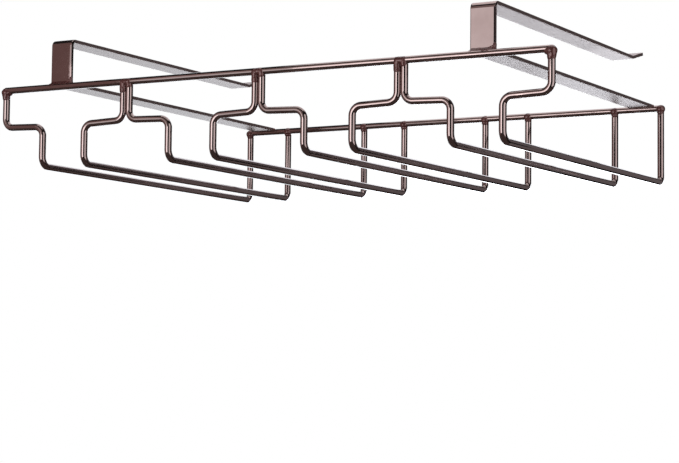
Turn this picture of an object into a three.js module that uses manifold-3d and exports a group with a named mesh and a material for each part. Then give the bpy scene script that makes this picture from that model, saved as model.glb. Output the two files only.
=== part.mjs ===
import * as THREE from 'three';
import { mergeVertices } from 'three/addons/utils/BufferGeometryUtils.js';
import Module from 'manifold-3d';

// A rack that hangs from a shelf and holds stemmed glasses upside down by the foot.
// Millimetres, +Z up, +X along the rails, +Y from front to rear.
// The origin is at the middle of the footprint, level with the underside of the slot wires.

// Slots and rails
const slotCount = 4;
const slotPitch = 108;
const stemGap = 31.8;
const wireDiameter = 4.7;
const railSpacing = 280.4;
const wireDrop = 56;
const shoulderDrop = 26.8;
const shoulderFall = 1.1;

// Bends of the slot wires, to the centre of the wire
const shoulderBend = 6.5;
const frontBend = 7;
const rearBend = 5;

// Brackets, bends to the inside of the strip
const bracketOffset = 3.6;
const stripWidth = 17.5;
const stripThickness = 2.5;
const stripChamfer = 0.35;
const shelfGap = 28.5;
const upperArmLength = 239;
const lipLength = 20;
const lipAngle = THREE.MathUtils.degToRad(15);
const footBend = 1.5;
const topBend = 2;
const lipBend = 3;

// Welds
const jointGap = 0.3;
const weldSkin = 0.65;
const weldCollar = 3.4;
const wireFillet = 1.6;
const cornerFillet = 3;
const footWeldSkin = 0.6;
const footWeldFlare = 1.5;
const footWeldRise = 3.2;
const rearWeldRadius = 1.5;
const cutOverrun = 1;

// Facets
const wireSides = 16;
const bendSteps = 5;
const domeSteps = 4;
const filletSteps = 3;
const collarSideSteps = 6;
const beadSides = 12;
const beadEndSteps = 3;

// Places worked out from the sizes above
const wireRadius = wireDiameter / 2;
const railHeight = wireDrop + wireRadius;
const frontY = -railSpacing / 2;
const rearY = railSpacing / 2;
const upperWireX = slotPitch / 2 - wireRadius - jointGap / 2;
const lowerWireX = stemGap / 2 + wireRadius;
const outerSlotX = slotPitch * (slotCount - 1) / 2;
const frontRailHalf = outerSlotX + upperWireX + wireRadius;
const rearRailHalf = outerSlotX + lowerWireX + wireRadius;
const wireTop = railHeight - wireRadius - jointGap;

// The strip's outer bend nests against the front rail, so its two faces stand this far from the rail's centre
const footOuterBend = footBend + stripThickness;
const seatOffset = (wireRadius + jointGap + footOuterBend) / Math.SQRT2 - footOuterBend;
const stripCentre = seatOffset + stripThickness / 2;
const lowerArmTop = seatOffset + stripThickness;
const lowerArmEnd = railSpacing - Math.sqrt((wireRadius + jointGap) ** 2 - seatOffset ** 2);
const upperArmCentre = lowerArmTop + shelfGap + stripThickness / 2;
const bracketX = outerSlotX + bracketOffset;

const wasm = await Module();
wasm.setup();

function finish(color, roughness, metalness) {
  return new THREE.MeshStandardMaterial({ color, roughness, metalness });
}

const wireFinish = () => finish(0x5c4340, 0.3, 0.85);
const stripFinish = () => finish(0x6b4f4a, 0.25, 0.85);
const weldFinish = () => finish(0x3a2a28, 0.5, 0.8);

function named(name, geometry, material, x, y, z) {
  const mesh = new THREE.Mesh(geometry, material);
  mesh.name = name;
  mesh.position.set(x, y, z);
  return mesh;
}

function heading(from, to) {
  return to.clone().sub(from).normalize();
}

// Points and directions along straight runs joined by round bends
function bentStations(corners, radii) {
  const last = corners.length - 1;
  const stations = [{ point: corners[0], tangent: heading(corners[0], corners[1]) }];
  for (let i = 1; i < last; i += 1) {
    const into = heading(corners[i - 1], corners[i]);
    const away = heading(corners[i], corners[i + 1]);
    const turn = into.angleTo(away);
    const radius = radii[i - 1];
    const start = corners[i].clone().addScaledVector(into, -radius * Math.tan(turn / 2));
    const inward = away.clone().addScaledVector(into, -away.dot(into)).normalize();
    for (let step = 0; step <= bendSteps; step += 1) {
      const angle = turn * step / bendSteps;
      const point = start.clone()
        .addScaledVector(into, radius * Math.sin(angle))
        .addScaledVector(inward, radius * (1 - Math.cos(angle)));
      const tangent = into.clone().multiplyScalar(Math.cos(angle)).addScaledVector(inward, Math.sin(angle));
      stations.push({ point, tangent });
    }
  }
  stations.push({ point: corners[last], tangent: heading(corners[last - 1], corners[last]) });
  return stations;
}

// A curve that passes exactly through its stations when it is divided into that many steps
class StationCurve extends THREE.Curve {
  constructor(stations) {
    super();
    this.stations = stations;
  }

  station(share) {
    return this.stations[Math.round(share * (this.stations.length - 1))];
  }

  getPointAt(share, target = new THREE.Vector3()) {
    return target.copy(this.station(share).point);
  }

  getTangentAt(share, target = new THREE.Vector3()) {
    return target.copy(this.station(share).tangent);
  }
}

function roundSection(radius, sides) {
  const points = [];
  for (let side = 0; side < sides; side += 1) {
    const angle = 2 * Math.PI * side / sides;
    points.push(new THREE.Vector2(radius * Math.cos(angle), radius * Math.sin(angle)));
  }
  return new THREE.Shape(points);
}

function bentRod(corners, radii) {
  const stations = bentStations(corners, radii);
  return new THREE.ExtrudeGeometry(roundSection(wireRadius, wireSides), {
    steps: stations.length - 1,
    extrudePath: new StationCurve(stations),
    bevelEnabled: false,
  });
}

// One side of a slot, measured from the slot's centre: side is -1 for left and 1 for right
function slotWire(side) {
  const upperX = side * upperWireX;
  const lowerX = side * lowerWireX;
  const shoulderTop = railHeight - shoulderDrop;
  const corners = [
    new THREE.Vector3(upperX, frontY, wireTop),
    new THREE.Vector3(upperX, frontY, shoulderTop),
    new THREE.Vector3(lowerX, frontY, shoulderTop - shoulderFall),
    new THREE.Vector3(lowerX, frontY, wireRadius),
    new THREE.Vector3(lowerX, rearY, wireRadius),
    new THREE.Vector3(lowerX, rearY, wireTop),
  ];
  return bentRod(corners, [shoulderBend, shoulderBend, frontBend, rearBend]);
}

// A round rail along X with domed ends, grown by a clearance where it serves as a cutter
function rail(halfLength, clearance) {
  const radius = wireRadius + clearance;
  const domeCentre = halfLength - wireRadius;
  const profile = [];
  for (const end of [-1, 1]) {
    for (let step = 0; step <= domeSteps; step += 1) {
      const sweep = end < 0 ? step : domeSteps - step;
      const angle = Math.PI / 2 * sweep / domeSteps;
      const reach = end * (domeCentre + radius * Math.cos(angle));
      profile.push(new THREE.Vector2(radius * Math.sin(angle), reach));
    }
  }
  return new THREE.LatheGeometry(profile, wireSides).rotateZ(-Math.PI / 2);
}

function toSolid(geometry) {
  const bare = geometry.clone();
  bare.deleteAttribute('normal');
  bare.deleteAttribute('uv');
  const merged = mergeVertices(bare);
  const corners = merged.index.array;
  const triVerts = [];
  for (let i = 0; i < corners.length; i += 3) {
    const [a, b, c] = [corners[i], corners[i + 1], corners[i + 2]];
    if (a !== b && b !== c && c !== a) {
      triVerts.push(a, b, c);
    }
  }
  return new wasm.Manifold(new wasm.Mesh({
    numProp: 3,
    vertProperties: new Float32Array(merged.attributes.position.array),
    triVerts: new Uint32Array(triVerts),
  }));
}

function toGeometry(solid) {
  const { vertProperties, triVerts } = solid.getMesh();
  const geometry = new THREE.BufferGeometry();
  geometry.setAttribute('position', new THREE.BufferAttribute(vertProperties, 3));
  geometry.setIndex(new THREE.BufferAttribute(triVerts, 1));
  geometry.computeVertexNormals();
  return geometry;
}

// The strip's outline in the YZ plane, grown by a clearance where it serves as a cutter
function stripOutline(clearance) {
  const lipReach = new THREE.Vector2(Math.cos(lipAngle), Math.sin(lipAngle)).multiplyScalar(lipLength);
  const lipStart = seatOffset + upperArmLength;
  const corners = [
    new THREE.Vector3(0, lowerArmEnd + clearance, stripCentre),
    new THREE.Vector3(0, stripCentre, stripCentre),
    new THREE.Vector3(0, stripCentre, upperArmCentre),
    new THREE.Vector3(0, lipStart, upperArmCentre),
    new THREE.Vector3(0, lipStart + lipReach.x, upperArmCentre + lipReach.y),
  ];
  const half = stripThickness / 2;
  const radii = [footBend + half, topBend + half, lipBend + half];
  const outer = [];
  const inner = [];
  for (const { point, tangent } of bentStations(corners, radii)) {
    const across = new THREE.Vector2(-tangent.z, tangent.y).multiplyScalar(half + clearance);
    outer.push(new THREE.Vector2(point.y, point.z).add(across));
    inner.unshift(new THREE.Vector2(point.y, point.z).sub(across));
  }
  return new THREE.Shape([...outer, ...inner]);
}

// The strip's outline swept across its width, centred on x = 0, with broken edges
function strip(clearance) {
  const chamfer = clearance > 0 ? 0 : stripChamfer;
  const depth = stripWidth + 2 * clearance - 2 * chamfer;
  const geometry = new THREE.ExtrudeGeometry(stripOutline(clearance), {
    depth,
    bevelEnabled: chamfer > 0,
    bevelThickness: chamfer,
    bevelSize: chamfer,
    bevelOffset: -chamfer,
    bevelSegments: 1,
  });
  geometry.translate(0, 0, -depth / 2);
  const axes = [new THREE.Vector3(0, 1, 0), new THREE.Vector3(0, 0, 1), new THREE.Vector3(1, 0, 0)];
  return geometry.applyMatrix4(new THREE.Matrix4().makeBasis(...axes));
}

// A closed skin over rings that have the same number of points and climb along +Z
function loft(rings) {
  const count = rings[0].length;
  const top = count * (rings.length - 1);
  const index = [];
  for (let ring = 0; ring < top; ring += count) {
    for (let side = 0; side < count; side += 1) {
      const next = (side + 1) % count;
      index.push(ring + side, ring + next, ring + count + next);
      index.push(ring + side, ring + count + next, ring + count + side);
    }
  }
  for (let side = 1; side < count - 1; side += 1) {
    index.push(0, side + 1, side);
    index.push(top, top + side, top + side + 1);
  }
  const geometry = new THREE.BufferGeometry().setFromPoints(rings.flat());
  geometry.setIndex(index);
  return geometry;
}

// A ring with round ends that reaches past two centres on X
function collarRing(leftCentre, rightCentre, radius, height) {
  const points = [];
  for (const end of [1, -1]) {
    const centre = end > 0 ? rightCentre : leftCentre;
    for (let step = 0; step <= collarSideSteps; step += 1) {
      const angle = Math.PI * (step / collarSideSteps - end / 2);
      points.push(new THREE.Vector3(centre + radius * Math.cos(angle), radius * Math.sin(angle), height));
    }
  }
  return points;
}

// The weld that wraps the wires' top ends and flares along the rail, from the rail's centre at z = 0.
// wireXs are the wires' places along the rail, and the fillets are given for the left and right side.
function weldBlank(wireXs, leftFillet, rightFillet) {
  const radius = wireRadius + weldSkin;
  const left = Math.min(...wireXs);
  const right = Math.max(...wireXs);
  const rings = [collarRing(left, right, radius, -wireRadius - weldCollar)];
  const fillet = Math.max(leftFillet, rightFillet);
  for (let step = 0; step <= filletSteps; step += 1) {
    const angle = Math.PI / 2 * step / filletSteps;
    const spread = 1 - Math.cos(angle);
    const height = -wireRadius - fillet * (1 - Math.sin(angle));
    rings.push(collarRing(left - leftFillet * spread, right + rightFillet * spread, radius, height));
  }
  rings.push(collarRing(left, right, radius, 0));
  return loft(rings);
}

function wireCutter(x) {
  const radius = wireRadius + jointGap;
  const length = weldCollar + cutOverrun;
  const cylinder = new THREE.CylinderGeometry(radius, radius, length, wireSides);
  return cylinder.rotateX(Math.PI / 2).translate(x, 0, -wireRadius - length / 2);
}

// railX is where the joint lies along its rail
function wireWeld(wireXs, leftFillet, rightFillet, railHalf, railX) {
  let solid = toSolid(weldBlank(wireXs, leftFillet, rightFillet));
  solid = solid.subtract(toSolid(rail(railHalf, jointGap).translate(-railX, 0, 0)));
  for (const x of wireXs) {
    solid = solid.subtract(toSolid(wireCutter(x)));
  }
  return toGeometry(solid);
}

// The fillet that climbs the front of the upright from the rail and runs out a little along the rail
function footFillet() {
  const half = stripWidth / 2;
  const rings = [collarRing(-half, half, footWeldSkin + footWeldFlare, wireRadius / 2)];
  for (let step = 0; step <= filletSteps; step += 1) {
    const angle = Math.PI / 2 * step / filletSteps;
    const reach = footWeldSkin + footWeldFlare * (1 - Math.sin(angle));
    rings.push(collarRing(-half, half, reach, wireRadius + footWeldRise * (1 - Math.cos(angle))));
  }
  return loft(rings).translate(0, seatOffset, 0);
}

// A rounded bead along the end of the lower arm
function armBead() {
  const geometry = new THREE.CapsuleGeometry(rearWeldRadius, stripWidth, beadEndSteps, beadSides);
  const height = (wireRadius + lowerArmTop) / 2;
  return geometry.rotateZ(Math.PI / 2).translate(0, lowerArmEnd + rearWeldRadius / 2, height);
}

function bracketWeld(blank, railY, railHalf, x) {
  const railCut = rail(railHalf, jointGap).translate(-x, railY, 0);
  const solid = toSolid(blank).subtract(toSolid(railCut)).subtract(toSolid(strip(jointGap)));
  return toGeometry(solid);
}

function footWeld(x) {
  return bracketWeld(footFillet(), 0, frontRailHalf, x);
}

// The bead fills the notch between the lower arm's end and the rear rail
function armWeld(x) {
  return bracketWeld(armBead(), railSpacing, rearRailHalf, x);
}

function addRails(rack) {
  rack.add(named('front_rail', rail(frontRailHalf, 0), wireFinish(), 0, frontY, railHeight));
  rack.add(named('rear_rail', rail(rearRailHalf, 0), wireFinish(), 0, rearY, railHeight));
}

function addSlots(rack) {
  for (let slot = 0; slot < slotCount; slot += 1) {
    const x = slotPitch * slot - outerSlotX;
    rack.add(named(`slot_${slot + 1}_left_wire`, slotWire(-1), wireFinish(), x, 0, 0));
    rack.add(named(`slot_${slot + 1}_right_wire`, slotWire(1), wireFinish(), x, 0, 0));
  }
}

function addFrontWelds(rack) {
  const endX = outerSlotX + upperWireX;
  const leftEnd = wireWeld([0], 0, cornerFillet, frontRailHalf, -endX);
  const rightEnd = wireWeld([0], cornerFillet, 0, frontRailHalf, endX);
  rack.add(named('front_left_end_weld', leftEnd, weldFinish(), -endX, frontY, railHeight));
  rack.add(named('front_right_end_weld', rightEnd, weldFinish(), endX, frontY, railHeight));
  const pair = [-wireRadius - jointGap / 2, wireRadius + jointGap / 2];
  for (let joint = 1; joint < slotCount; joint += 1) {
    const x = slotPitch * joint - outerSlotX - slotPitch / 2;
    const weld = wireWeld(pair, wireFillet, wireFillet, frontRailHalf, x);
    rack.add(named(`front_pair_${joint}_weld`, weld, weldFinish(), x, frontY, railHeight));
  }
}

function addRearWelds(rack) {
  const wireCount = 2 * slotCount;
  for (let wire = 0; wire < wireCount; wire += 1) {
    const slotX = slotPitch * Math.floor(wire / 2) - outerSlotX;
    const x = slotX + (wire % 2 ? lowerWireX : -lowerWireX);
    const leftFillet = wire === 0 ? 0 : wireFillet;
    const rightFillet = wire === wireCount - 1 ? 0 : wireFillet;
    const weld = wireWeld([0], leftFillet, rightFillet, rearRailHalf, x);
    rack.add(named(`rear_${wire + 1}_weld`, weld, weldFinish(), x, rearY, railHeight));
  }
}

function addBrackets(rack) {
  for (const [side, x] of [['left', -bracketX], ['right', bracketX]]) {
    rack.add(named(`${side}_bracket`, strip(0), stripFinish(), x, frontY, railHeight));
    rack.add(named(`${side}_bracket_foot_weld`, footWeld(x), weldFinish(), x, frontY, railHeight));
    rack.add(named(`${side}_bracket_rear_weld`, armWeld(x), weldFinish(), x, frontY, railHeight));
  }
}

const rack = new THREE.Group();
addRails(rack);
addSlots(rack);
addFrontWelds(rack);
addRearWelds(rack);
addBrackets(rack);

export default rack;
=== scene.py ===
import math
import bpy
from mathutils import Matrix, Vector


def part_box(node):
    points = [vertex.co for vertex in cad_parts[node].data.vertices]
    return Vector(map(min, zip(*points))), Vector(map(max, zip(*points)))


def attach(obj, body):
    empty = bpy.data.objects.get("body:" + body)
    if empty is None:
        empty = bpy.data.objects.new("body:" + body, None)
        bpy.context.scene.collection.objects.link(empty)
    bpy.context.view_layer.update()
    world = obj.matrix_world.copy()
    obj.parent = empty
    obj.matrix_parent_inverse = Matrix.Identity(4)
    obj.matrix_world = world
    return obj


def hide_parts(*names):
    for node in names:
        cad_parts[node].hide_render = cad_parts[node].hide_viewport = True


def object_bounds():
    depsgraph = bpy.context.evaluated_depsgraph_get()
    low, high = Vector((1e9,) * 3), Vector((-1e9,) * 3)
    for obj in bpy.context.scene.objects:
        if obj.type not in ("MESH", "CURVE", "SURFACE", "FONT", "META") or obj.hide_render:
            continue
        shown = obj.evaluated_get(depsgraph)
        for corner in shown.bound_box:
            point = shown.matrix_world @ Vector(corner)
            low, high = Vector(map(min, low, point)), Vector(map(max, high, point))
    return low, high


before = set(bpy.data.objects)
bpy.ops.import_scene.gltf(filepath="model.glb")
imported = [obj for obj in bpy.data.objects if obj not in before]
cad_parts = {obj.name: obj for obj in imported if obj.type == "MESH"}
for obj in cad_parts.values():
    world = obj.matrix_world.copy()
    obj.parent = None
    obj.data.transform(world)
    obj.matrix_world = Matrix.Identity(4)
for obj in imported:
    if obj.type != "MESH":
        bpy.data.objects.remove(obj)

cadLow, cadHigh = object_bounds()
mm = 0.001

# Everything is in metres: +X along the rails, +Y to the rear, +Z up, the slot wires' underside at z = 0


# Camera, standing low and to the right of the rack, looking up a little

cameraView = {
    "place": (715.93 * mm, -1297.7 * mm, -155.75 * mm),
    "yaw": 29.40,        # degrees to the left of straight ahead
    "pitch": 4.49,
    "roll": 0.65,
    "lens": 108.32,
    "sensor": 36,
}


def addCamera(view):
    yaw, pitch, roll = (math.radians(view[k]) for k in ("yaw", "pitch", "roll"))
    ahead = Vector((-math.sin(yaw) * math.cos(pitch), math.cos(yaw) * math.cos(pitch), math.sin(pitch)))
    level = Vector((math.cos(yaw), math.sin(yaw), 0))
    upright = level.cross(ahead)
    right = level * math.cos(roll) + upright * math.sin(roll)
    up = upright * math.cos(roll) - level * math.sin(roll)
    data = bpy.data.cameras.new("camera")
    data.lens = view["lens"]
    data.sensor_width = view["sensor"]
    camera = bpy.data.objects.new("camera", data)
    bpy.context.scene.collection.objects.link(camera)
    turn = Matrix((right, up, -ahead)).transposed().to_4x4()
    camera.matrix_world = Matrix.Translation(view["place"]) @ turn
    bpy.context.scene.camera = camera


addCamera(cameraView)
print("camera placed")


# Small helpers for working by hand

def deselectAll():
    if bpy.context.mode != "OBJECT":
        bpy.ops.object.mode_set(mode="OBJECT")
    bpy.ops.object.select_all(action="DESELECT")


def activate(piece):
    deselectAll()
    piece.select_set(True)
    bpy.context.view_layer.objects.active = piece


def bakePlace(piece):
    activate(piece)
    bpy.ops.object.transform_apply(location=True, rotation=True, scale=True)


def applyModifiers(piece):
    activate(piece)
    for modifier in list(piece.modifiers):
        bpy.ops.object.modifier_apply(modifier=modifier.name)


def roundEdges(piece, width, steps, above):
    rounding = piece.modifiers.new("rounding", "BEVEL")
    rounding.width = width
    rounding.segments = steps
    rounding.limit_method = "ANGLE"
    rounding.angle_limit = math.radians(above)
    applyModifiers(piece)


def smoothBy(piece, degrees):
    activate(piece)
    bpy.ops.object.shade_smooth_by_angle(angle=math.radians(degrees))


def wear(piece, material):
    piece.data.materials.clear()
    piece.data.materials.append(material)


def standFor(piece, node):
    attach(piece, "root")
    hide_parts(node)


def boxMiddle(node):
    low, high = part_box(node)
    return (low + high) / 2


# Bent stock: a section ring is pulled along the runs and spun round the bends

def pullStock(piece, corners, radii, bendSteps):
    activate(piece)
    bpy.ops.object.mode_set(mode="EDIT")
    bpy.ops.mesh.select_all(action="SELECT")
    points = [Vector(c) for c in corners]
    here = points[0]
    for corner, beyond, radius in zip(points[1:], points[2:], radii):
        into = (corner - here).normalized()
        away = (beyond - corner).normalized()
        turn = into.angle(away)
        reach = radius * math.tan(turn / 2)
        inward = (away - into * away.dot(into)).normalized()
        bendStart = corner - into * reach
        bpy.ops.mesh.extrude_region_move(TRANSFORM_OT_translate={"value": bendStart - here})
        bpy.ops.mesh.spin(
            steps=bendSteps,
            angle=-turn,
            center=bendStart + inward * radius,
            axis=into.cross(away).normalized(),
        )
        here = corner + away * reach
    bpy.ops.mesh.extrude_region_move(TRANSFORM_OT_translate={"value": points[-1] - here})
    bpy.ops.mesh.edge_face_add()
    bpy.ops.mesh.select_all(action="DESELECT")
    bpy.ops.mesh.select_non_manifold(extend=False, use_wire=False, use_multi_face=False, use_verts=False)
    bpy.ops.mesh.edge_face_add()
    bpy.ops.mesh.select_all(action="SELECT")
    bpy.ops.mesh.normals_make_consistent(inside=False)
    bpy.ops.object.mode_set(mode="OBJECT")


# Finishes

noiseDetail = {"mottle": 3, "haze": 3, "peel": 2}
mottleBand = (0.32, 0.68)    # the part of the noise over which dark turns to light
hazeBand = (0.3, 0.7)        # and over which the roughness rises


def nodeTree(name):
    material = bpy.data.materials.new(name)
    material.use_nodes = True
    tree = material.node_tree
    return material, tree, tree.nodes["Principled BSDF"]


def noise(tree, place, scale, detail):
    node = tree.nodes.new("ShaderNodeTexNoise")
    node.inputs["Scale"].default_value = scale
    node.inputs["Detail"].default_value = detail
    tree.links.new(place, node.inputs["Vector"])
    return node.outputs["Fac"]


# From low to high, as the value goes from start to end
def spread(tree, value, low, high, start, end):
    node = tree.nodes.new("ShaderNodeMapRange")
    node.inputs["From Min"].default_value = start
    node.inputs["From Max"].default_value = end
    node.inputs["To Min"].default_value = low
    node.inputs["To Max"].default_value = high
    tree.links.new(value, node.inputs["Value"])
    return node.outputs["Result"]


def twoTone(tree, value, dark, light):
    node = tree.nodes.new("ShaderNodeValToRGB")
    for element, position, colour in zip(node.color_ramp.elements, mottleBand, (dark, light)):
        element.position = position
        element.color = (*colour, 1)
    tree.links.new(value, node.inputs["Fac"])
    return node.outputs["Color"]


# 0 in front of the first depth, 1 behind the second
def depthOf(tree, place, between):
    node = tree.nodes.new("ShaderNodeSeparateXYZ")
    tree.links.new(place, node.inputs["Vector"])
    return spread(tree, node.outputs["Y"], 0, 1, *between)


def duller(tree, roughness, amount, satin):
    node = tree.nodes.new("ShaderNodeMix")
    tree.links.new(amount, node.inputs["Factor"])
    tree.links.new(roughness, node.inputs["A"])
    node.inputs["B"].default_value = satin
    return node.outputs["Result"]


def bronze(name, look):
    material, tree, shader = nodeTree(name)
    place = tree.nodes.new("ShaderNodeTexCoord").outputs["Object"]
    shader.inputs["Metallic"].default_value = look["metallic"]
    if "lacquer" in look:
        shader.inputs["Coat Weight"].default_value = look["lacquer"]
        shader.inputs["Coat Roughness"].default_value = look["lacquerRoughness"]
        shader.inputs["Coat IOR"].default_value = look["lacquerIor"]
    mottle = noise(tree, place, look["mottleScale"], noiseDetail["mottle"])
    tree.links.new(twoTone(tree, mottle, look["dark"], look["light"]), shader.inputs["Base Color"])
    haze = noise(tree, place, look["hazeScale"], noiseDetail["haze"])
    roughness = spread(tree, haze, *look["roughness"], *hazeBand)
    if "satin" in look:
        roughness = duller(tree, roughness, depthOf(tree, place, look["satinFrom"]), look["satin"])
    tree.links.new(roughness, shader.inputs["Roughness"])
    peel = noise(tree, place, look["peelScale"], noiseDetail["peel"])
    bump = tree.nodes.new("ShaderNodeBump")
    bump.inputs["Strength"].default_value = look["peelStrength"]
    bump.inputs["Distance"].default_value = look["peelDepth"]
    tree.links.new(peel, bump.inputs["Height"])
    tree.links.new(bump.outputs["Normal"], shader.inputs["Normal"])
    return material


wireBronze = bronze("wire_bronze", {
    "metallic": 0.96, "lacquer": 0.5, "lacquerRoughness": 0.05, "lacquerIor": 1.8,
    "dark": (0.285, 0.205, 0.197), "light": (0.325, 0.24, 0.232), "mottleScale": 60,
    "roughness": (0.03, 0.05), "hazeScale": 150,
    "peelScale": 220, "peelStrength": 0.02, "peelDepth": 0.2 * mm,
})
stripBronze = bronze("strip_bronze", {
    "metallic": 0.96,
    "dark": (0.315, 0.232, 0.225), "light": (0.355, 0.268, 0.26), "mottleScale": 90,
    "roughness": (0.01, 0.02), "hazeScale": 110,
    "satin": 0.46, "satinFrom": (-137.5 * mm, -134.5 * mm),   # the arms are duller than the uprights
    "peelScale": 120, "peelStrength": 0.02, "peelDepth": 0.2 * mm,
})
# The welds wear the same finish as the wire. Their much darker, redder base colour is painted shade, standing
# in for the dark surroundings that the lumps reflect
paintedShadeWeldBronze = bronze("painted_shade_weld_bronze", {
    "metallic": 0.5, "lacquer": 0.45, "lacquerRoughness": 0.1, "lacquerIor": 1.65,
    "dark": (0.078, 0.022, 0.02), "light": (0.125, 0.045, 0.042), "mottleScale": 160,
    "roughness": (0.32, 0.45), "hazeScale": 300,
    "peelScale": 400, "peelStrength": 0.04, "peelDepth": 0.3 * mm,
})
print("finishes made")


# Rods: two straight rails and eight bent slot wires

rod = {
    "radius": 2.35 * mm,
    "coat": 0.12 * mm,           # of paint, on top of the bare wire
    "sides": 32,
    "shoulderDrop": 26.8 * mm,   # from the rail's centre to the shoulder's centre
    "shoulderFall": 1.1 * mm,    # the shoulder slopes down a little towards the stem gap
    "shoulderBend": 6.5 * mm,
    "frontBend": 7 * mm,
    "rearBend": 5 * mm,
    "bendSteps": 10,
    "railEnd": 2.1 * mm,         # rounding of a rail's ends
    "railEndSteps": 8,
    "railEndAngle": 50,          # only edges sharper than this are rounded
    "smoothAngle": 40,
}


def straightRail(node):
    low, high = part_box(node)
    deselectAll()
    bpy.ops.mesh.primitive_cylinder_add(
        vertices=rod["sides"], radius=rod["radius"] + rod["coat"], depth=high.x - low.x,
        location=boxMiddle(node), rotation=(0, math.pi / 2, 0),
    )
    rail = bpy.context.object
    rail.name = node + "_rod"
    bakePlace(rail)
    roundEdges(rail, rod["railEnd"], rod["railEndSteps"], rod["railEndAngle"])
    smoothBy(rail, rod["smoothAngle"])
    wear(rail, wireBronze)
    standFor(rail, node)


# Where a wire runs at one side of its box: -1 left, 1 right
def wireAt(node, side):
    low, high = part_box(node)
    return (low.x + rod["radius"]) if side < 0 else (high.x - rod["radius"])


# side is the side of its slot that the wire is on
def slotWire(node, side):
    low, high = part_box(node)
    radius = rod["radius"]
    upperX, lowerX = wireAt(node, side), wireAt(node, -side)
    frontY, rearY = low.y + radius, high.y - radius
    bottom = low.z + radius
    shoulder = boxMiddle("front_rail").z - rod["shoulderDrop"]
    corners = [
        (upperX, frontY, high.z),
        (upperX, frontY, shoulder),
        (lowerX, frontY, shoulder - rod["shoulderFall"]),
        (lowerX, frontY, bottom),
        (lowerX, rearY, bottom),
        (lowerX, rearY, high.z),
    ]
    deselectAll()
    bpy.ops.mesh.primitive_circle_add(vertices=rod["sides"], radius=radius + rod["coat"], location=corners[0])
    wire = bpy.context.object
    wire.name = node + "_rod"
    bakePlace(wire)
    radii = [rod[k] for k in ("shoulderBend", "shoulderBend", "frontBend", "rearBend")]
    pullStock(wire, corners, radii, rod["bendSteps"])
    smoothBy(wire, rod["smoothAngle"])
    wear(wire, wireBronze)
    standFor(wire, node)


for railNode in ("front_rail", "rear_rail"):
    straightRail(railNode)
for slotNumber in range(1, 5):
    slotWire(f"slot_{slotNumber}_left_wire", -1)
    slotWire(f"slot_{slotNumber}_right_wire", 1)
print("rods bent")


# Brackets: flat strip bent to a C, with a lip at the free end

strip = {
    "thickness": 2.5 * mm,
    "shelfGap": 28.5 * mm,
    "upperArm": 239 * mm,
    "lip": 20 * mm,
    "lipAngle": 15,
    "footBend": 0.8 * mm,        # all bends are to the strip's inside, this one lies against the rail
    "topBend": 2 * mm,
    "lipBend": 3 * mm,
    "bendSteps": 10,
    "edge": 1.2 * mm,            # the edges are rolled: rounded over this much of the width
    "edgeDepth": 0.22 * mm,      # and this much of the thickness
    "edgeSteps": 6,
    "smoothAngle": 50,
    "faceWeight": 100,           # the widest faces alone decide how light falls on the rest
}


def bracket(node):
    low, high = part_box(node)
    half = strip["thickness"] / 2
    middle = (low.x + high.x) / 2
    frontY = low.y + half
    armZ = low.z + half
    topZ = armZ + strip["thickness"] + strip["shelfGap"]
    lipY = low.y + strip["upperArm"]
    lean = math.radians(strip["lipAngle"])
    corners = [
        (middle, high.y, armZ),
        (middle, frontY, armZ),
        (middle, frontY, topZ),
        (middle, lipY, topZ),
        (middle, lipY + strip["lip"] * math.cos(lean), topZ + strip["lip"] * math.sin(lean)),
    ]
    stretch = strip["edge"] / strip["edgeDepth"]    # the section is drawn narrow and then stretched
    deselectAll()
    bpy.ops.mesh.primitive_plane_add(size=1)
    piece = bpy.context.object
    piece.name = node + "_strip"
    piece.scale = ((high.x - low.x) / stretch, strip["thickness"], 1)
    bakePlace(piece)
    bpy.ops.object.mode_set(mode="EDIT")
    bpy.ops.mesh.select_mode(type="VERT")
    bpy.ops.mesh.select_all(action="SELECT")
    bpy.ops.mesh.bevel(offset=strip["edgeDepth"], segments=strip["edgeSteps"], affect="VERTICES")
    bpy.ops.mesh.select_all(action="SELECT")
    bpy.ops.mesh.delete(type="ONLY_FACE")
    bpy.ops.object.mode_set(mode="OBJECT")
    piece.scale = (stretch, 1, 1)
    piece.rotation_euler = (math.pi / 2, 0, 0)
    piece.location = corners[0]
    bakePlace(piece)
    radii = [strip[k] + half for k in ("footBend", "topBend", "lipBend")]
    pullStock(piece, corners, radii, strip["bendSteps"])
    smoothBy(piece, strip["smoothAngle"])
    shading = piece.modifiers.new("flat faces stay flat", "WEIGHTED_NORMAL")
    shading.weight = strip["faceWeight"]
    shading.keep_sharp = True
    applyModifiers(piece)
    wear(piece, stripBronze)
    standFor(piece, node)


for bracketNode in ("left_bracket", "right_bracket"):
    bracket(bracketNode)
print("brackets bent")


# Welds: bars of melted metal, run together and smoothed, then made lumpy

weld = {
    "barSides": 20,
    "ballRings": 12,
    "voxel": 0.2 * mm,
    "smoothing": 10,
    "lumpSize": 3.2 * mm,
    "lumpDetail": 1,
    "lumpHeight": 0.5 * mm,
}


def addBar(start, end, radius, endRadius=None):
    start, end = Vector(start), Vector(end)
    endRadius = endRadius or radius
    along = end - start
    made = []
    for place, size in ((start, radius), (end, endRadius)):
        bpy.ops.mesh.primitive_uv_sphere_add(
            segments=weld["barSides"], ring_count=weld["ballRings"], radius=size, location=place,
        )
        made.append(bpy.context.object)
    bpy.ops.mesh.primitive_cone_add(
        vertices=weld["barSides"], radius1=radius, radius2=endRadius, depth=along.length,
        location=(start + end) / 2, rotation=along.to_track_quat("Z", "Y").to_euler(),
    )
    made.append(bpy.context.object)
    return made


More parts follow.
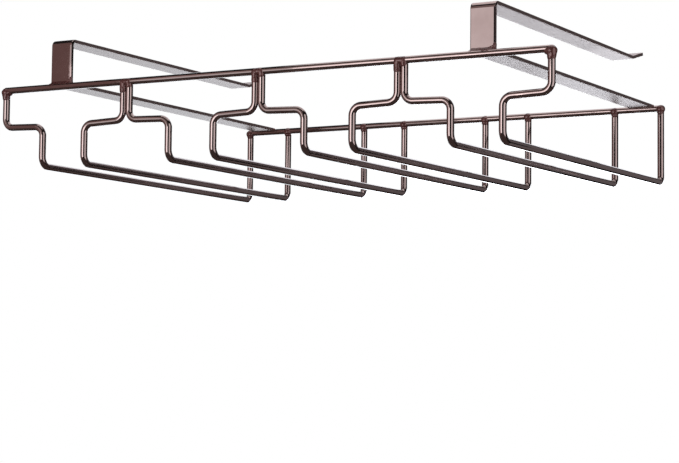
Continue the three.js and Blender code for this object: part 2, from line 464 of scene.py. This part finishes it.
def runTogether(node, bars, others=()):
    made = [ball for bar in bars for ball in addBar(*bar)] + list(others)
    deselectAll()
    for ball in made:
        ball.select_set(True)
    bpy.context.view_layer.objects.active = made[0]
    bpy.ops.object.join()
    lump = bpy.context.object
    lump.name = node + "_bead"
    bakePlace(lump)
    lump.data.remesh_voxel_size = weld["voxel"]
    bpy.ops.object.voxel_remesh()
    flow = lump.modifiers.new("flow", "SMOOTH")
    flow.iterations = weld["smoothing"]
    ripples = bpy.data.textures.new(node + "_ripples", "CLOUDS")
    ripples.noise_scale = weld["lumpSize"]
    ripples.noise_depth = weld["lumpDetail"]
    lumps = lump.modifiers.new("lumps", "DISPLACE")
    lumps.texture = ripples
    lumps.strength = weld["lumpHeight"]
    applyModifiers(lump)
    bpy.data.textures.remove(ripples)
    bpy.ops.object.shade_smooth()
    wear(lump, paintedShadeWeldBronze)
    standFor(lump, node)


# How a wire or a touching pair of wires is welded to a rail
# skin and footSkin: how far the weld stands proud of the rods, and at its lower end
# ahead and drop: how far its middle lies in front of the rail's and under it
# hangs: how far it runs down the left and the right wire
wireJoints = {
    "corner": {"skin": 1.15 * mm, "footSkin": 0.3 * mm, "ahead": 0.2 * mm, "drop": 1.4 * mm,
               "hangs": (4.4 * mm, 4.4 * mm)},
    "pair": {"skin": 0.2 * mm, "footSkin": 0.05 * mm, "ahead": 0.45 * mm, "drop": 0.3 * mm,
             "hangs": (5.2 * mm, 1.8 * mm)},
    "rear": {"skin": 0.95 * mm, "footSkin": 0.25 * mm, "ahead": 0.5 * mm, "drop": 0.8 * mm,
             "hangs": (1.8 * mm, 1.8 * mm)},
}

# A corner's weld also runs a little way along the rail, and slants from there down to the wire
cornerFillet = {
    "slantOut": 0.18 * mm,       # past the wire
    "slantDrop": 0.75,           # under the rail's middle, and its width, both as shares of the rod's radius
    "slantWidth": 0.72,
    "rimOut": 0.12 * mm,
    "rimWidth": 1.06,
}


# side is where a corner's fillet goes: -1 left, 1 right
def wireWeld(node, wireXs, rail, joint, side=0):
    middle = boxMiddle(rail)
    radius = rod["radius"] + rod["coat"]
    y, z = middle.y - joint["ahead"], middle.z
    left, right = min(wireXs), max(wireXs)
    under = z - joint["drop"]
    foot = radius + joint["footSkin"]
    bars = []
    for x, hang in zip((left, right), joint["hangs"]):
        tip = z - radius - hang + foot / 2
        bars.append(((x, y, under), (x, y, tip), radius + joint["skin"], foot))
    if right > left:
        bars.append(((left, y, under), (right, y, under), radius + joint["skin"]))
    if side:
        slantX = x + side * (radius + cornerFillet["slantOut"])
        slantZ = z - radius * cornerFillet["slantDrop"]
        bars.append(((slantX, y, slantZ), (x, y, tip), radius * cornerFillet["slantWidth"]))
        rimX = x + side * (radius + cornerFillet["rimOut"])
        bars.append(((x, y, under), (rimX, y, under), radius * cornerFillet["rimWidth"]))
    runTogether(node, bars)


for side, slotNumber, name in ((-1, 1, "left"), (1, 4, "right")):
    cornerX = wireAt(f"slot_{slotNumber}_{name}_wire", side)
    wireWeld(f"front_{name}_end_weld", [cornerX], "front_rail", wireJoints["corner"], -side)
for pair in (1, 2, 3):
    pairXs = [wireAt(f"slot_{pair}_right_wire", 1), wireAt(f"slot_{pair + 1}_left_wire", -1)]
    wireWeld(f"front_pair_{pair}_weld", pairXs, "front_rail", wireJoints["pair"])
for slotNumber in range(1, 5):
    for side, name, offset in ((-1, "left", 1), (1, "right", 0)):
        rearX = wireAt(f"slot_{slotNumber}_{name}_wire", -side)
        wireWeld(f"rear_{2 * slotNumber - offset}_weld", [rearX], "rear_rail", wireJoints["rear"])
print("wires welded")

bracketWeld = {
    "footSkin": 0.02 * mm,       # round the strip at the fillet's top
    "footFront": 3.15 * mm,      # and this much further forward on the rail
    "footSide": 1.5 * mm,        # and sideways
    "footBack": 1.5 * mm,        # behind the strip's face
    "footBottom": 0.6 * mm,      # above the rail's centre
    "footRise": 3.6 * mm,
    "footHollow": 0.3,           # 0 is a straight slope
    "footSteps": 8,
    "footCorner": 0.3,           # rounding of its corners, as a share of its depth
    "footCornerSteps": 4,
    "collarRadius": 2.5 * mm,    # the weld also lies on the rail's upper side
    "collarBack": 0.3 * mm,
    "collarUp": 0.35 * mm,
    "lumpRadius": 1.25 * mm,     # where the weld ended, a lump climbs the strip's right corner
    "lumpHeight": (3.0 * mm, 5.6 * mm),
    "lumpBack": 0.3 * mm,        # behind the strip's face
    "lumpOut": -0.3 * mm,        # past the strip's edge
    "tailRadius": 0.75 * mm,     # and tails off along the strip's face
    "tailLength": 5.4 * mm,
    "tailSink": 0.4,             # into the face, as a share of its radius
    "tailEnd": (0.5, 0.6),       # beside and under the lump's top, as shares of the lump's radius
    "rearRadius": 1.3 * mm,
    "rearOut": 0.5,              # behind the arm's end and under its top, as shares of the radius
    "rearDrop": 1.1,
}


# The fillet is a rounded sheet on the rail, drawn up ring by ring and drawn in on the way
def footFillet(low, high, bottom):
    steps = bracketWeld["footSteps"]
    skin, back = bracketWeld["footSkin"], low.y + bracketWeld["footBack"]
    middle = (low.x + high.x) / 2
    rings = []
    for step in range(steps + 1):
        climb = step / steps
        out = (1 - climb) * (1 - bracketWeld["footHollow"] * climb)
        rings.append((
            high.x - low.x + 2 * (skin + bracketWeld["footSide"] * out),
            bracketWeld["footBack"] + skin + bracketWeld["footFront"] * out,
            bracketWeld["footRise"] * climb,
        ))
    width, depth, height = rings[0]
    deselectAll()
    bpy.ops.mesh.primitive_plane_add(size=1, location=(middle, back - depth / 2, bottom))
    fillet = bpy.context.object
    fillet.scale = (width, depth, 1)
    bakePlace(fillet)
    bpy.ops.object.mode_set(mode="EDIT")
    bpy.ops.mesh.select_mode(type="VERT")
    bpy.ops.mesh.select_all(action="SELECT")
    bpy.ops.mesh.bevel(
        offset=depth * bracketWeld["footCorner"], segments=bracketWeld["footCornerSteps"], affect="VERTICES",
    )
    bpy.ops.mesh.select_all(action="SELECT")
    for nextWidth, nextDepth, nextHeight in rings[1:]:
        bpy.ops.mesh.extrude_region_move(TRANSFORM_OT_translate={"value": (0, 0, nextHeight - height)})
        bpy.ops.transform.resize(
            value=(nextWidth / width, nextDepth / depth, 1),
            center_override=(middle, back, bottom + nextHeight),
        )
        width, depth, height = nextWidth, nextDepth, nextHeight
    bpy.ops.mesh.select_all(action="SELECT")
    bpy.ops.mesh.normals_make_consistent(inside=False)
    bpy.ops.object.mode_set(mode="OBJECT")
    return fillet


def footWeld(side):
    low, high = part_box(side + "_bracket")
    rail = boxMiddle("front_rail")
    collarY, collarZ = rail.y + bracketWeld["collarBack"], rail.z + bracketWeld["collarUp"]
    collar = ((low.x, collarY, collarZ), (high.x, collarY, collarZ), bracketWeld["collarRadius"])
    fillet = footFillet(low, high, rail.z + bracketWeld["footBottom"])
    bottom, top = (rail.z + height for height in bracketWeld["lumpHeight"])
    x, y = high.x + bracketWeld["lumpOut"], low.y + bracketWeld["lumpBack"]
    radius, tail = bracketWeld["lumpRadius"], bracketWeld["tailRadius"]
    lump = ((x, y, bottom), (x, y, top), radius)
    face = low.y + tail * bracketWeld["tailSink"]
    beside, under = (radius * share for share in bracketWeld["tailEnd"])
    runOut = ((x - bracketWeld["tailLength"], face, bottom), (x - beside, face, top - under), tail)
    runTogether(side + "_bracket_foot_weld", [collar, lump, runOut], [fillet])


def rearWeld(side):
    low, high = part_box(side + "_bracket")
    arm = low.z + strip["thickness"]
    radius = bracketWeld["rearRadius"]
    y, z = high.y + radius * bracketWeld["rearOut"], arm - radius * bracketWeld["rearDrop"]
    runTogether(side + "_bracket_rear_weld", [((low.x, y, z), (high.x, y, z), radius)])


for side in ("left", "right"):
    footWeld(side)
    rearWeld(side)
print("brackets welded")


# Set: soft boxes, black flags and two backdrops round them, a pale floor far below and a white surround

rackMiddle = (cadLow + cadHigh) / 2

softBoxes = {
    # azimuth runs from straight in front towards the right, both pairs of angles in degrees
    "front_box": {"azimuth": (-16, 4), "elevation": (-20, 8.9), "distance": 1.9,
                  "radiance": 3.2, "tint": (1, 1, 1)},
    "front_side": {"azimuth": (-27, -16), "elevation": (-20, 9), "distance": 1.92,
                   "radiance": 3.0, "tint": (1, 1, 1)},
    "plate_box": {"azimuth": (-27, -16), "elevation": (9, 12), "distance": 1.93,
                  "radiance": 1.45, "tint": (1, 1, 1)},
    "front_edge": {"azimuth": (-38.31, -27), "elevation": (-20, 12), "distance": 1.94,
                   "radiance": 1.1, "tint": (1, 1, 1)},
    "front_upper": {"azimuth": (-38, 8), "elevation": (12, 40), "distance": 1.96,
                    "radiance": 0.38, "tint": (1, 0.78, 0.74)},
    "side_box": {"azimuth": (51, 98), "elevation": (-24, 34), "distance": 1.9,
                 "radiance": 1.5, "tint": (1, 1, 1)},
    "left_fill": {"azimuth": (-90, -38.31), "elevation": (-25, 40), "distance": 2.1,
                  "radiance": 0.27, "tint": (1, 0.64, 0.6)},
    "rear_fill": {"azimuth": (149, 165), "elevation": (-32, 34), "distance": 2.1,
                  "radiance": 0.19, "tint": (1, 0.92, 0.95)},
    "top_box": {"azimuth": (150, 210), "elevation": (44, 113), "distance": 1.5,
                "radiance": 1.4, "tint": (1, 1, 1)},
    # these two only show in the metal, mostly on the undersides of the arms
    "behind_right": {"azimuth": (178, 208), "elevation": (-17, 3), "distance": 2.45,
                     "radiance": 5.6, "tint": (0.86, 0.94, 1), "mirrored": True},
    "behind_left": {"azimuth": (208, 229), "elevation": (-40, 3), "distance": 2.45,
                    "radiance": 2.45, "tint": (0.84, 0.95, 1), "mirrored": True},
}


def outward(azimuth, elevation):
    a, e = math.radians(azimuth), math.radians(elevation)
    return Vector((math.sin(a) * math.cos(e), -math.cos(a) * math.cos(e), math.sin(e)))


def addSoftBox(name, box):
    left, right = box["azimuth"]
    low, high = box["elevation"]
    data = bpy.data.lights.new(name, "AREA")
    data.shape = "RECTANGLE"
    data.size = 2 * box["distance"] * math.tan(math.radians((right - left) / 2))
    data.size_y = 2 * box["distance"] * math.tan(math.radians((high - low) / 2))
    data.energy = box["radiance"] * math.pi * data.size * data.size_y
    data.color = box["tint"]
    lamp = bpy.data.objects.new(name, data)
    bpy.context.scene.collection.objects.link(lamp)
    azimuth, elevation = (left + right) / 2, (low + high) / 2
    lamp.location = rackMiddle + outward(azimuth, elevation) * box["distance"]
    lamp.rotation_euler = (math.radians(90 - elevation), 0, math.radians(azimuth))
    lamp.visible_camera = False
    if box.get("mirrored"):
        lamp.visible_diffuse = False


for boxName, boxSettings in softBoxes.items():
    addSoftBox(boxName, boxSettings)

flags = {
    "radius": 2.6,
    "bottom": -1.15,
    "top": 2.4,
    "stepAngle": 5,              # of the ring's facets
    "discSides": 48,
    "ground": (0.07, 0.05, 0.045),
    "inset": 0.02,               # the backdrops stand this much inside the black ring
}
backdrops = {
    # Nothing pale stands straight behind the rods, which keeps their rims dark
    "backdrop_right": {"azimuth": (178, 208), "height": (0.65, 2.39), "colour": (1.4, 1.45, 1.55)},
    "backdrop_left": {"azimuth": (208, 229), "height": (0.65, 2.39), "colour": (1.0, 1.08, 1.13)},
}
floorSettings = {"height": -1.2, "size": 30, "colour": (0.8, 0.8, 0.8), "roughness": 0.8, "paleness": 0.45}


def onlyInReflections(piece):
    piece.visible_camera = False
    piece.visible_diffuse = False
    piece.visible_transmission = False
    piece.visible_volume_scatter = False
    piece.visible_shadow = False


def glowCloth(name, colour):
    material = bpy.data.materials.new(name)
    material.use_nodes = True
    tree = material.node_tree
    tree.nodes.clear()
    glow = tree.nodes.new("ShaderNodeEmission")
    glow.inputs["Color"].default_value = (*colour, 1)
    glow.inputs["Strength"].default_value = 1
    out = tree.nodes.new("ShaderNodeOutputMaterial")
    tree.links.new(glow.outputs[0], out.inputs["Surface"])
    return material


def addWall(name, colour, azimuth, height, radius):
    start = rackMiddle + outward(azimuth[0], 0) * radius
    deselectAll()
    bpy.ops.mesh.primitive_plane_add(size=1)
    wall = bpy.context.object
    wall.name = name
    bpy.ops.object.mode_set(mode="EDIT")
    bpy.ops.mesh.select_mode(type="VERT")
    bpy.ops.mesh.select_all(action="SELECT")
    bpy.ops.mesh.merge(type="CENTER")
    bpy.ops.transform.translate(value=(start.x, start.y, height[0]))
    bpy.ops.mesh.extrude_region_move(TRANSFORM_OT_translate={"value": (0, 0, height[1] - height[0])})
    bpy.ops.mesh.select_all(action="SELECT")
    turn = azimuth[1] - azimuth[0]
    bpy.ops.mesh.spin(
        steps=round(turn / flags["stepAngle"]), angle=-math.radians(turn),
        center=(rackMiddle.x, rackMiddle.y, 0), axis=(0, 0, 1),
    )
    bpy.ops.object.mode_set(mode="OBJECT")
    wear(wall, glowCloth(name + "_cloth", colour))
    onlyInReflections(wall)


def addDisc(name, colour, height):
    deselectAll()
    bpy.ops.mesh.primitive_circle_add(
        vertices=flags["discSides"], radius=flags["radius"], fill_type="NGON",
        location=(rackMiddle.x, rackMiddle.y, height),
    )
    disc = bpy.context.object
    disc.name = name
    wear(disc, glowCloth(name + "_cloth", colour))
    onlyInReflections(disc)


def addFlags():
    addWall("flag_wall", (0, 0, 0), (-180, 180), (flags["bottom"], flags["top"]), flags["radius"])
    addDisc("flag_ground", flags["ground"], flags["bottom"])
    addDisc("flag_ceiling", (0, 0, 0), flags["top"])
    for name, cloth in backdrops.items():
        addWall(name, cloth["colour"], cloth["azimuth"], cloth["height"], flags["radius"] - flags["inset"])


# 1 for what is seen directly, mirrored or through a clear material, 0 for what only lights the rack
def seenRays(tree):
    rays = tree.nodes.new("ShaderNodeLightPath")
    seen = rays.outputs["Is Camera Ray"]
    for ray in ("Is Glossy Ray", "Is Transmission Ray"):
        either = tree.nodes.new("ShaderNodeMath")
        either.operation = "MAXIMUM"
        tree.links.new(seen, either.inputs[0])
        tree.links.new(rays.outputs[ray], either.inputs[1])
        seen = either.outputs[0]
    return seen


def addFloor():
    deselectAll()
    bpy.ops.mesh.primitive_plane_add(size=floorSettings["size"], location=(0, 0, floorSettings["height"]))
    floor = bpy.context.object
    floor.name = "floor"
    material, tree, shader = nodeTree("floor_paper")
    shader.inputs["Base Color"].default_value = (*floorSettings["colour"], 1)
    shader.inputs["Roughness"].default_value = floorSettings["roughness"]
    shader.inputs["Emission Color"].default_value = (1, 1, 1, 1)
    lift = tree.nodes.new("ShaderNodeMath")
    lift.operation = "MULTIPLY"
    lift.inputs[1].default_value = floorSettings["paleness"]
    tree.links.new(seenRays(tree), lift.inputs[0])
    tree.links.new(lift.outputs[0], shader.inputs["Emission Strength"])
    wear(floor, material)


surround = {"light": 0.4, "white": 1.0}


def addSurround():
    world = bpy.data.worlds.new("surround")
    bpy.context.scene.world = world
    world.use_nodes = True
    tree = world.node_tree
    tree.nodes.clear()
    lit = tree.nodes.new("ShaderNodeBackground")
    lit.inputs["Strength"].default_value = surround["light"]
    seen = tree.nodes.new("ShaderNodeBackground")
    seen.inputs["Strength"].default_value = surround["white"]
    for background in (lit, seen):
        background.inputs["Color"].default_value = (1, 1, 1, 1)
    mix = tree.nodes.new("ShaderNodeMixShader")
    tree.links.new(seenRays(tree), mix.inputs["Fac"])
    tree.links.new(lit.outputs[0], mix.inputs[1])
    tree.links.new(seen.outputs[0], mix.inputs[2])
    out = tree.nodes.new("ShaderNodeOutputWorld")
    tree.links.new(mix.outputs[0], out.inputs["Surface"])


addFlags()
addFloor()
addSurround()
bpy.context.scene.view_settings.view_transform = "Standard"
print("set lit")
